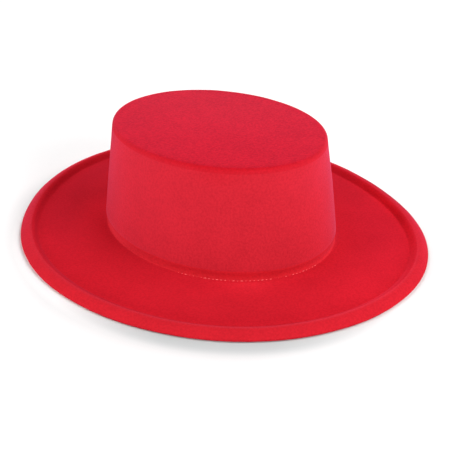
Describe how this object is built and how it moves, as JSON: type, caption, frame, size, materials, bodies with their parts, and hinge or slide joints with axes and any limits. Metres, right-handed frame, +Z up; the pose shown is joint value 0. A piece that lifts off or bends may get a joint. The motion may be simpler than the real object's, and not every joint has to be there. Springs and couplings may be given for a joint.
{
  "type": "felt hat",
  "caption": "Flat-topped oval felt hat with a tapered crown, pinched head line and wide flat brim with a rolled edge, worn on the head or set down on its brim.",
  "frame": {"origin": "centre of the brim's outline, on the plane the hat rests on", "axes": "+Z up through the crown, -Y the front of the hat, +Y the back; the head oval is longest along Y"},
  "size_m": [0.3126, 0.3532, 0.0895],
  "materials": {
    "red_felt": "soft napped felt"
  },
  "bodies": {
    "root": {"felt_body": "red_felt"}
  },
  "joints": []
}
